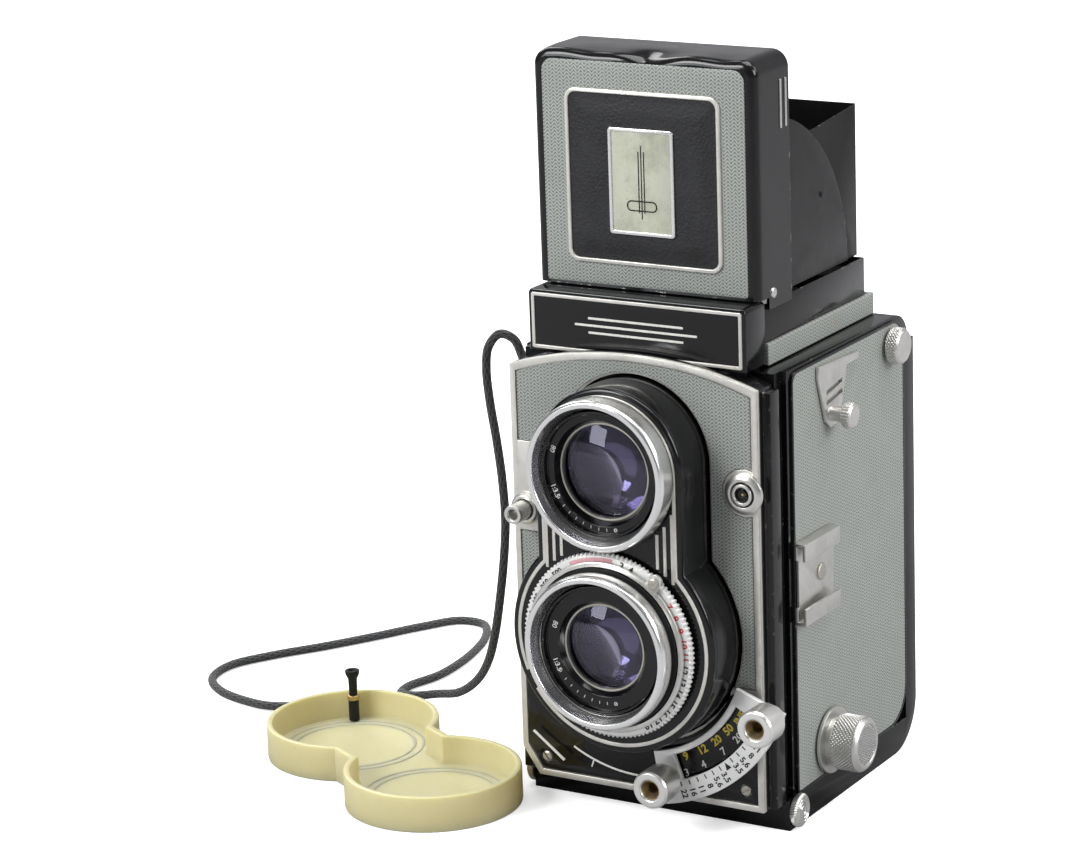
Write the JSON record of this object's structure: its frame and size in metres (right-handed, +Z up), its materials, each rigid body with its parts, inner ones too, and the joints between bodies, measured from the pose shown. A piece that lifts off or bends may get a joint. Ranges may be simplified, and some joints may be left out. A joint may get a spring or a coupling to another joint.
{
  "type": "twin lens reflex camera",
  "caption": "Box-shaped roll-film camera with viewing lens above taking lens, folding waist-level hood, hinged back, focusing lever, film knobs and a corded lens cap.",
  "frame": {"origin": "on the surface the camera stands on, below the middle of the body, in the plane of the two lens axes", "axes": "+Z up, -Y is the way the lenses point, +X is on the right when the camera is seen from the front"},
  "size_m": [0.2229, 0.1564, 0.204],
  "materials": {
    "gloss_paint": "gloss black enamel with worn edges",
    "matt_black": "matt black lacquer",
    "satin_silver": "worn satin chrome",
    "brass": "machined brass",
    "grey_leather": "grey embossed leatherette",
    "black_plastic": "gloss black moulding",
    "lens_glass": "coated lens glass",
    "screen_glass": "ground glass",
    "mirror_glass": "front-silvered glass",
    "cap_plastic": "aged translucent plastic",
    "cord_braid": "braided black cord"
  },
  "bodies": {
    "body": {"body_casting": "gloss_paint", "front_housing": "gloss_paint", "front_plate": "satin_silver", "front_leather": "grey_leather", "front_leather_small": "grey_leather", "scale_plate": "gloss_paint", "nameplate": "black_plastic", "side_leather_right": "grey_leather", "side_leather_left": "grey_leather", "hood_step": "grey_leather", "hood_base": "gloss_paint", "mirror_box": "matt_black", "reflex_mirror": "mirror_glass", "focusing_screen": "screen_glass", "film_gate": "matt_black", "strap_lug_right": "satin_silver", "strap_lug_left": "satin_silver", "accessory_shoe": "satin_silver", "sync_socket": "satin_silver", "release_boss": "satin_silver", "face_screw_right": "satin_silver", "face_screw_left": "satin_silver", "lens_cap": "cap_plastic", "cap_cord": "cord_braid", "cord_ferrule": "cord_braid"},
    "lens_carriage": {"lens_housing": "gloss_paint", "viewing_barrel": "satin_silver", "viewing_retainer": "gloss_paint", "viewing_glass": "lens_glass", "shutter_case": "matt_black", "taking_barrel": "satin_silver", "taking_retainer": "gloss_paint", "taking_glass": "lens_glass", "light_tube": "matt_black"},
    "exposure_ring": {"ev_ring": "satin_silver"},
    "aperture_index": {"aperture_ring": "satin_silver"},
    "focus_arm": {"focus_lever": "satin_silver", "focus_knob_right": "satin_silver", "focus_knob_left": "satin_silver"},
    "release": {"release_button": "satin_silver"},
    "advance": {"advance_knob": "satin_silver", "advance_gear": "brass"},
    "takeup": {"takeup_gear": "brass", "takeup_spool": "black_plastic"},
    "supply": {"supply_spool": "black_plastic"},
    "spool_pull": {"film_knob": "satin_silver"},
    "counter": {"counter_knob": "satin_silver"},
    "lower_roller": {"roller_lower": "satin_silver"},
    "upper_roller": {"roller_upper": "satin_silver"},
    "back": {"back_door": "gloss_paint", "tripod_bush": "satin_silver"},
    "film_pressure": {"pressure_plate": "satin_silver"},
    "latch_right": {"latch_button_right": "satin_silver"},
    "latch_left": {"latch_button_left": "satin_silver"},
    "hood_front": {"hood_lid": "gloss_paint", "hood_wing_right": "matt_black", "hood_wing_left": "matt_black", "lid_badge": "satin_silver"},
    "hood_rear": {"hood_rear_panel": "matt_black"},
    "magnifier": {"hood_magnifier": "matt_black"}
  },
  "joints": [
    {"name": "focus_turn", "type": "hinge", "parent": "body", "child": "focus_arm", "pos_m": [0, -0.046, 0.0537], "axis": [0, -1, 0], "range_deg": [-53, 19]},
    {"name": "focus_travel", "type": "slide", "parent": "body", "child": "lens_carriage", "axis": [0, -1, 0], "range_m": [-0.00195, 0.00535]},
    {"name": "exposure_turn", "type": "hinge", "parent": "lens_carriage", "child": "exposure_ring", "pos_m": [0, -0.058, 0.0537], "axis": [0, -1, 0], "range_deg": [-70, 45]},
    {"name": "aperture_turn", "type": "hinge", "parent": "lens_carriage", "child": "aperture_index", "pos_m": [0, -0.0597, 0.0537], "axis": [0, -1, 0], "range_deg": [-30, 20]},
    {"name": "shutter_release", "type": "slide", "parent": "body", "child": "release", "axis": [0, 1, 0], "range_m": [0, 0.0022], "stiffness_N_per_m": 300},
    {"name": "film_advance", "type": "hinge", "parent": "body", "child": "advance", "pos_m": [0, 0.01698, 0.09514], "axis": [1, 0, 0], "continuous": true},
    {"name": "takeup_turn", "type": "hinge", "parent": "body", "child": "takeup", "pos_m": [0, 0.0285, 0.1105], "axis": [1, 0, 0], "continuous": true},
    {"name": "supply_turn", "type": "hinge", "parent": "body", "child": "supply", "pos_m": [0, -0.0095, 0.018], "axis": [1, 0, 0], "continuous": true},
    {"name": "spool_knob_pull", "type": "slide", "parent": "supply", "child": "spool_pull", "axis": [1, 0, 0], "range_m": [0, 0.005], "stiffness_N_per_m": 150},
    {"name": "counter_turn", "type": "hinge", "parent": "body", "child": "counter", "pos_m": [0, 0.0293, 0.1172], "axis": [1, 0, 0], "continuous": true},
    {"name": "lower_roller_turn", "type": "hinge", "parent": "body", "child": "lower_roller", "pos_m": [0, 0.0324, 0.0146], "axis": [1, 0, 0], "continuous": true},
    {"name": "upper_roller_turn", "type": "hinge", "parent": "body", "child": "upper_roller", "pos_m": [0, 0.0336, 0.0927], "axis": [1, 0, 0], "continuous": true},
    {"name": "back_open", "type": "hinge", "parent": "body", "child": "back", "pos_m": [0, 0.0426, 0.1186], "axis": [1, 0, 0], "range_deg": [0, 100]},
    {"name": "film_pressure_spring", "type": "slide", "parent": "back", "child": "film_pressure", "axis": [0, 1, 0], "range_m": [0, 0.0008], "stiffness_N_per_m": 600},
    {"name": "latch_right_pull", "type": "slide", "parent": "back", "child": "latch_right", "axis": [1, 0, 0], "range_m": [0, 0.002], "stiffness_N_per_m": 300},
    {"name": "latch_left_pull", "type": "slide", "parent": "back", "child": "latch_left", "axis": [-1, 0, 0], "range_m": [0, 0.002], "stiffness_N_per_m": 300},
    {"name": "hood_fold", "type": "hinge", "parent": "body", "child": "hood_front", "pos_m": [0, -0.0245, 0.141], "axis": [-1, 0, 0], "range_deg": [0, 90], "stiffness_Nm_per_rad": 0.012, "springref_deg": -57.3},
    {"name": "hood_rear_fold", "type": "hinge", "parent": "body", "child": "hood_rear", "pos_m": [0, 0.0288, 0.1405], "axis": [1, 0, 0], "range_deg": [0, 101.5]},
    {"name": "magnifier_swing", "type": "hinge", "parent": "hood_front", "child": "magnifier", "pos_m": [0, -0.0312, 0.1794], "axis": [1, 0, 0], "range_deg": [-90, 0]}
  ],
  "couplings": [
    {"joint": "focus_travel", "follows": "focus_turn", "m_per_rad": -0.0057296},
    {"joint": "film_advance", "follows": "takeup_turn", "ratio": -0.5},
    {"joint": "hood_rear_fold", "follows": "hood_fold", "ratio": 1.12}
  ]
}
